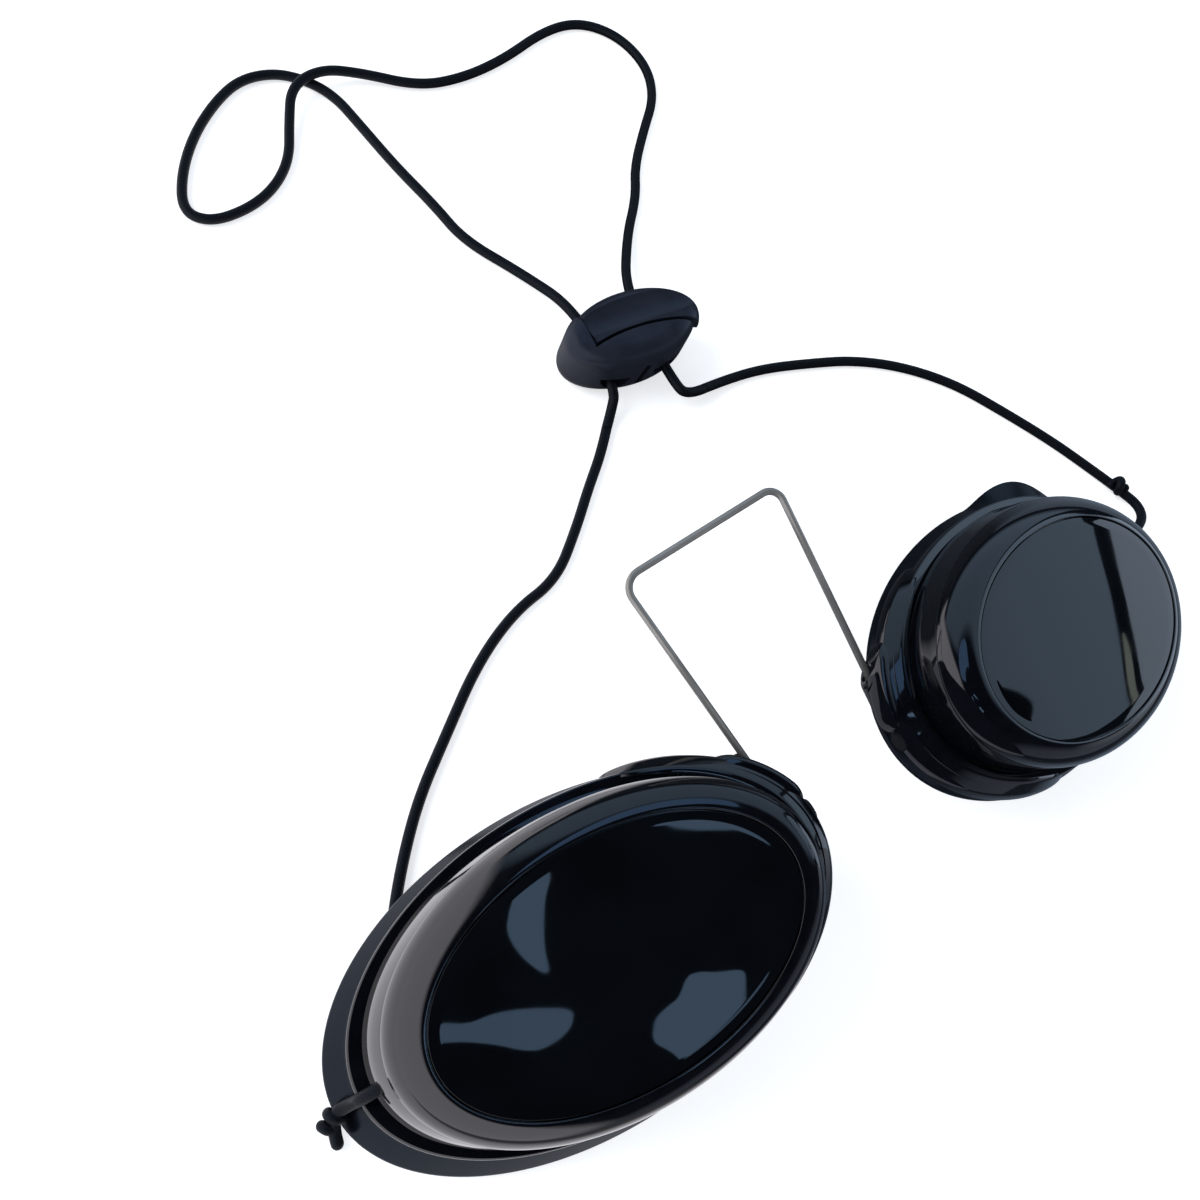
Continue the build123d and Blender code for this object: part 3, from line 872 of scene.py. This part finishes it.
# table and light
floorSizes = {
    "half": 2.0, "colour": (0.86, 0.86, 0.86, 1), "lift": 0.62,
    # what glossy faces see: a white table on the left, a dark strip, and slate on the right
    "white": (0.95, 0.94, 1.0, 1), "dark": (0.03, 0.035, 0.045, 1), "slate": (0.15, 0.19, 0.25, 1),
    "whiteEdge": (-0.012, 0.004), "whiteLean": 0.15, "slateEdge": (0.03, 0.08),
    # it dims to this share in front of the goggles
    "frontEdge": (-0.09, -0.05), "frontShare": 0.25,
}
bm = bmesh.new()
bmesh.ops.create_grid(bm, x_segments=8, y_segments=8, size=floorSizes["half"])
floorMesh = bpy.data.meshes.new("floor")
bm.to_mesh(floorMesh)
bm.free()
floor = bpy.data.objects.new("floor", floorMesh)
bpy.context.scene.collection.objects.link(floor)
floorPaint = bpy.data.materials.new("floor")
shade = Shade(floorPaint)
cameraRay = shade.node("ShaderNodeLightPath", output="Is Camera Ray")
glossyRay = shade.node("ShaderNodeLightPath", output="Is Glossy Ray")
across, ahead = (shade.part(shade.place(), index) for index in (0, 1))
toLeft = shade.spread(across - ahead * floorSizes["whiteLean"], *floorSizes["whiteEdge"], 1.0, 0.0)
toRight = shade.spread(across - ahead, *floorSizes["slateEdge"], 0.0, 1.0)
seen = shade.mix(toRight, floorSizes["dark"], floorSizes["slate"])
seen = shade.mix(toLeft, seen, floorSizes["white"])
bright = shade.spread(ahead, *floorSizes["frontEdge"], floorSizes["frontShare"], 1.0)
tinted = shade.emission(seen, bright)
pale = shade.node("ShaderNodeBsdfDiffuse", {"Color": floorSizes["colour"]})
# the camera sees a table lifted to white, which keeps a soft shadow
lift = shade.emission((1, 1, 1, 1), floorSizes["lift"])
lifted = shade.node("ShaderNodeAddShader", {0: pale, 1: lift})
mixed = shade.node("ShaderNodeMixShader", {0: glossyRay, 1: pale, 2: tinted})
mixed = shade.node("ShaderNodeMixShader", {0: cameraRay, 1: mixed, 2: lifted})
shade.node("ShaderNodeOutputMaterial", {"Surface": mixed})
floorMesh.materials.append(floorPaint)

# what glossy faces see of the room: patches by their turn round it and their tilt, in degrees
roomSizes = {
    "base": (0.01, 0.012, 0.018, 1), "top": (0.002, 0.002, 0.004, 1), "topFrom": (0.74, 0.83),
    "light": (0.85, 0.92, 1.0, 1), "strength": 0.45,
    "patches": {
        "pearl": {"side": 175, "tilt": -20, "fade": (0.1, 0.2), "tone": (1.05, 1.02, 1.1, 1)},
        "steelBlue": {
            "side": 40, "tilt": 18, "fade": (0.5, 0.62), "tone": (0.27, 0.37, 0.5, 1), "above": (0.06, 0.16),
        },
        "window": {"side": 327, "tilt": 2, "fade": (0.93, 0.975), "tone": (0.52, 0.58, 0.66, 1)},
        "front": {"side": 288, "tilt": -12, "fade": (0.62, 0.8), "tone": (0.2, 0.23, 0.29, 1)},
    },
}
world = bpy.data.worlds.new("studio")
bpy.context.scene.world = world
shade = Shade(world)
way = shade.place("Generated")
high = shade.part(way, 2)
tones = roomSizes["base"]
for patch in roomSizes["patches"].values():
    turn, rise = math.radians(patch["side"]), math.radians(patch["tilt"])
    aim = (math.cos(rise) * math.cos(turn), math.cos(rise) * math.sin(turn), math.sin(rise))
    dot = shade.node("ShaderNodeVectorMath", {0: way, 1: aim}, 1, operation="DOT_PRODUCT")
    share = shade.spread(dot, *patch["fade"], 0.0, 1.0)
    if "above" in patch:
        share = share * shade.spread(high, *patch["above"], 0.0, 1.0)
    tones = shade.mix(share, tones, patch["tone"])
tones = shade.mix(shade.spread(high, *roomSizes["topFrom"], 1.0, 0.0), roomSizes["top"], tones)
plain = shade.background(roomSizes["light"], roomSizes["strength"])
room = shade.background(tones, 1.0)
white = shade.background((1, 1, 1, 1), 1.0)
cameraRay = shade.node("ShaderNodeLightPath", output="Is Camera Ray")
glossyRay = shade.node("ShaderNodeLightPath", output="Is Glossy Ray")
mixed = shade.node("ShaderNodeMixShader", {0: glossyRay, 1: plain, 2: room})
mixed = shade.node("ShaderNodeMixShader", {0: cameraRay, 1: mixed, 2: white})
shade.node("ShaderNodeOutputWorld", {"Surface": mixed})

# cards above and beside the goggles that their glossy faces show, and two dark flags between them
slate = (0.42, 0.66, 1.0)
cards = {
    "crescent": {"level": ("Z", 0.45), "tint": slate, "strength": 1.6, "points": [
        (-0.081, 0.0014), (-0.0731, 0.0147), (-0.0532, 0.0059), (-0.0361, -0.0109), (-0.0233, -0.0374),
        (-0.026, -0.0419)]},
    "upLeft": {"level": ("Z", 0.45), "tint": slate, "strength": 1.6, "points": [
        (-0.131, 0.014), (-0.141, 0.005), (-0.1505, -0.009), (-0.157, -0.021), (-0.161, -0.033),
        (-0.165, -0.03), (-0.168, -0.018), (-0.168, -0.006), (-0.166, 0.002), (-0.161, 0.0076),
        (-0.156, 0.011), (-0.158, 0.016), (-0.145, 0.0165)]},
    "downLeft": {"level": ("Z", 0.45), "tint": slate, "strength": 1.5, "points": [
        (-0.232, -0.017), (-0.220, -0.023), (-0.209, -0.032), (-0.195, -0.035), (-0.181, -0.042),
        (-0.161, -0.057), (-0.166, -0.065), (-0.1745, -0.068), (-0.186, -0.067), (-0.194, -0.061),
        (-0.202, -0.051), (-0.214, -0.04), (-0.2255, -0.032), (-0.2385, -0.0285)]},
    "downRight": {"level": ("Z", 0.45), "tint": slate, "strength": 1.6, "points": [
        (-0.106, -0.077), (-0.1, -0.079), (-0.094, -0.084), (-0.082, -0.0905), (-0.084, -0.096),
        (-0.092, -0.106), (-0.103, -0.114), (-0.1146, -0.12), (-0.127, -0.1255), (-0.129, -0.119),
        (-0.1325, -0.107), (-0.1374, -0.097), (-0.130, -0.087), (-0.1215, -0.085), (-0.1146, -0.0846)]},
    "edge": {"level": ("Z", 0.45), "tint": slate, "strength": 1.3, "points": [
        (-0.089, -0.1115), (-0.066, -0.109), (-0.0675, -0.121), (-0.094, -0.127), (-0.127, -0.135),
        (-0.132, -0.125), (-0.113, -0.121)]},
    "wide": {"level": ("X", 0.6), "tint": (0.56, 0.76, 1.0), "strength": 0.82, "points": [
        (0.10, 0.13), (-0.017, 0.191), (-0.036, 0.2016), (-0.049, 0.203), (-0.066, 0.207), (-0.083, 0.2105),
        (-0.1035, 0.2155), (-0.130, 0.223), (-0.164, 0.234), (-0.179, 0.238), (-0.23, 0.28), (-0.25, 0.42),
        (-0.16, 0.48), (0.0, 0.48), (0.12, 0.36)]},
    "side": {"level": ("X", 0.6), "tint": (0.66, 0.80, 1.0), "strength": 1.25, "points": [
        (-0.0219, 0.1823), (-0.039, 0.192), (-0.055, 0.1936), (-0.081, 0.1994), (-0.1036, 0.2033),
        (-0.131, 0.209), (-0.1537, 0.2158), (-0.1836, 0.2263), (-0.27, 0.226), (-0.3, 0.0), (0.05, 0.0)]},
    "strip": {"level": ("X", 0.6), "tint": (0.85, 0.95, 0.85), "strength": 0.9, "points": [
        (-0.1215, 0.2174), (-0.14, 0.2186), (-0.167, 0.2265), (-0.181, 0.230), (-0.180, 0.2356),
        (-0.158, 0.230)]},
    "back": {"level": ("X", 0.61), "tint": slate, "strength": 0.02, "points": [
        (-0.28, 0.01), (0.14, 0.01), (0.14, 0.5), (-0.28, 0.5)]},
    "blob": {"level": ("X", 0.59), "tint": slate, "strength": 0.0, "points": [
        (-0.121, 0.3235), (-0.127, 0.3135), (-0.138, 0.302), (-0.147, 0.297), (-0.158, 0.303),
        (-0.1714, 0.321), (-0.162, 0.345), (-0.140, 0.345), (-0.122, 0.335)]},
    # the two flags face the right eyepiece, whose gloss shows them as a painted darker reflection on its
    # lower wall
    "flag": {"level": ("X", -0.004), "tint": (0.5, 0.55, 1.0), "strength": 0.03, "points": [
        (0.024, -0.02), (0.024, 0.026), (0.014, 0.031), (0.004, 0.046), (-0.008, 0.075), (-0.03, 0.085),
        (-0.12, 0.12), (-0.15, 0.12), (-0.15, -0.02)]},
    "flagLow": {"level": ("X", -0.0035), "tint": (0.82, 0.84, 1.0), "strength": 0.4, "points": [
        (0.024, -0.02), (0.024, 0.01), (0.0, 0.014), (-0.15, 0.016), (-0.15, -0.02)]},
    "high": {"level": ("Z", 0.45), "tint": (0.3, 0.55, 1.0), "strength": 0.85, "points": [
        (0.21, 0.2), (0.13, 0.29), (0.015, 0.32), (-0.09, 0.28), (-0.19, 0.2), (-0.1, 0.11), (-0.03, 0.145),
        (0.06, 0.14), (0.11, 0.1)]},
}


def softened(points, rounds=2, cut=0.22):
    # cuts every corner of a closed outline, once in each round
    for turn in range(rounds):
        cutPoints = []
        for here, after in zip(points, points[1:] + points[:1]):
            here, after = Vector(here), Vector(after)
            cutPoints += [here.lerp(after, cut), here.lerp(after, 1 - cut)]
        points = cutPoints
    return points


for name, card in cards.items():
    axis, level = card["level"]
    bm = bmesh.new()
    outline = softened(card["points"])
    bm.faces.new([bm.verts.new((*spot, level) if axis == "Z" else (level, *spot)) for spot in outline])
    bmesh.ops.triangulate(bm, faces=bm.faces)
    mesh = bpy.data.meshes.new("card-" + name)
    bm.to_mesh(mesh)
    bm.free()
    paint = bpy.data.materials.new("card-" + name)
    shade = Shade(paint)
    glow = shade.emission((*card["tint"], 1), card["strength"])
    if name.startswith("flag"):
        # a flag is seen from its right side only
        behind = shade.node("ShaderNodeNewGeometry", output="Backfacing")
        clear = shade.node("ShaderNodeBsdfTransparent")
        glow = shade.node("ShaderNodeMixShader", {0: behind, 1: glow, 2: clear})
    shade.node("ShaderNodeOutputMaterial", {"Surface": glow})
    mesh.materials.append(paint)
    holder = bpy.data.objects.new("card-" + name, mesh)
    bpy.context.scene.collection.objects.link(holder)
    holder.visible_camera = False
    holder.visible_shadow = False
    holder.visible_diffuse = not name.startswith("flag")
print("stage: cards")

lampAim = (0, 0, 0.01)
lamps = {
    "key": {"spot": (-0.5, 0.5, 0.6), "size": (0.5, 0.5), "power": 5.0, "colour": (0.95, 0.97, 1.0)},
    "fill": {"spot": (0.25, -0.7, 0.28), "size": (0.4, 0.25), "power": 1.6, "colour": (0.9, 0.95, 1.0)},
}
for name, lamp in lamps.items():
    data = bpy.data.lights.new(name, "AREA")
    data.shape = "RECTANGLE"
    data.size, data.size_y = lamp["size"]
    data.energy = lamp["power"]
    data.color = lamp["colour"]
    holder = bpy.data.objects.new(name, data)
    bpy.context.scene.collection.objects.link(holder)
    holder.visible_glossy = False
    spot = Vector(lamp["spot"])
    turn = (Vector(lampAim) - spot).to_track_quat("-Z", "Y").to_matrix().to_4x4()
    holder.matrix_world = Matrix.Translation(spot) @ turn
bpy.context.scene.view_settings.view_transform = "Standard"
print("stage: studio")
